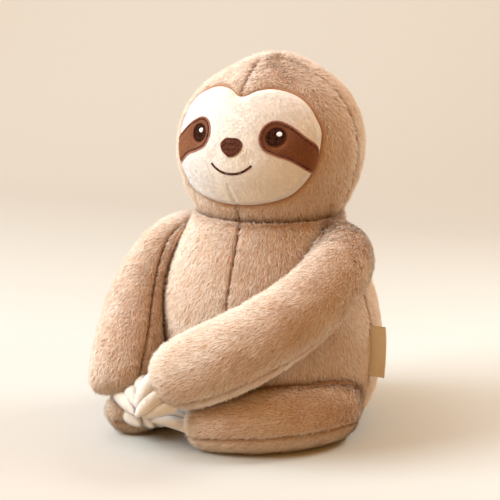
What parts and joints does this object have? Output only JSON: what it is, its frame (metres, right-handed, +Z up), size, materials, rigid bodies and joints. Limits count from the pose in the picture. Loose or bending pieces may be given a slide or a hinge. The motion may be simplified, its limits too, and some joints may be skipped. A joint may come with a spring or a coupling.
{
  "type": "plush sloth",
  "caption": "Seated stuffed plush sloth hugging itself, with a cream face, embroidered eyes and nose, long arms and legs ending in soft claws, and a plain side label.",
  "frame": {"origin": "centre of the flattened seat panel, on the surface that the toy sits on", "axes": "+Z up to the top of the head, -Y is where the face looks, +X is the toy's own left side"},
  "size_m": [0.2189, 0.2258, 0.2966],
  "materials": {
    "plush": "short silky warm brown plush with a soft, slightly tousled pile",
    "minky": "very short cream minky pile",
    "patch_cloth": "short dark brown velour",
    "patch_thread": "dark brown satin-stitched border with a slight sheen",
    "eye_thread": "near-black brown satin embroidery",
    "nose_thread": "reddish dark brown satin embroidery",
    "glint_thread": "off-white embroidery",
    "filling": "loose white polyester fibre",
    "pellet_cloth": "plain woven lining bag filled with plastic pellets",
    "label_cloth": "folded tan cotton ribbon, plain"
  },
  "bodies": {
    "torso": {"torso_base": "plush", "torso_back": "plush", "torso_front_left": "plush", "torso_front_right": "plush", "torso_filling": "filling", "pellet_bag": "pellet_cloth"},
    "head": {"face_panel": "minky", "head_back": "plush", "head_front_left": "plush", "head_front_right": "plush", "head_filling": "filling", "nose": "nose_thread", "mouth": "eye_thread", "left_eye_patch": "patch_cloth", "left_patch_border": "patch_thread", "left_eye": "eye_thread", "left_eye_glint": "glint_thread", "right_eye_patch": "patch_cloth", "right_patch_border": "patch_thread", "right_eye": "eye_thread", "right_eye_glint": "glint_thread"},
    "left_arm": {"left_arm_upper_panel": "plush", "left_arm_lower_panel": "plush", "left_arm_filling": "filling", "left_hand_claw_1": "minky", "left_hand_claw_2": "minky", "left_hand_claw_3": "minky"},
    "right_arm": {"right_arm_upper_panel": "plush", "right_arm_lower_panel": "plush", "right_arm_filling": "filling", "right_hand_claw_1": "minky", "right_hand_claw_2": "minky", "right_hand_claw_3": "minky"},
    "left_leg": {"left_leg_upper_panel": "plush", "left_leg_lower_panel": "plush", "left_leg_filling": "filling", "left_foot_claw_1": "minky", "left_foot_claw_2": "minky", "left_foot_claw_3": "minky"},
    "right_leg": {"right_leg_upper_panel": "plush", "right_leg_lower_panel": "plush", "right_leg_filling": "filling", "right_foot_claw_1": "minky", "right_foot_claw_2": "minky", "right_foot_claw_3": "minky"},
    "label": {"side_label": "label_cloth"}
  },
  "joints": [
    {"name": "head_turn", "type": "hinge", "parent": "torso", "child": "head", "pos_m": [0, 0, 0.172], "axis": [0, 0, 1], "range_deg": [-20, 20], "stiffness_Nm_per_rad": 0.12},
    {"name": "left_shoulder", "type": "hinge", "parent": "torso", "child": "left_arm", "pos_m": [0.0782, 0.0177, 0.14964], "axis": [-0.1998, 0.1998, 0.9592], "range_deg": [0, 60], "stiffness_Nm_per_rad": 0.04},
    {"name": "right_shoulder", "type": "hinge", "parent": "torso", "child": "right_arm", "pos_m": [-0.0782, 0.0177, 0.14964], "axis": [-0.1998, -0.1998, -0.9592], "range_deg": [0, 60], "stiffness_Nm_per_rad": 0.04},
    {"name": "left_hip", "type": "hinge", "parent": "torso", "child": "left_leg", "pos_m": [0.09016, 0.00619, 0.0258], "axis": [0, 0, 1], "range_deg": [0, 30], "stiffness_Nm_per_rad": 0.05},
    {"name": "right_hip", "type": "hinge", "parent": "torso", "child": "right_leg", "pos_m": [-0.09016, 0.00619, 0.0258], "axis": [0, 0, -1], "range_deg": [0, 30], "stiffness_Nm_per_rad": 0.05},
    {"name": "label_flap", "type": "hinge", "parent": "torso", "child": "label", "pos_m": [0.09062, -0.00796, 0.06708], "axis": [0, 0, 1], "range_deg": [-60, 60], "stiffness_Nm_per_rad": 0.0004}
  ]
}
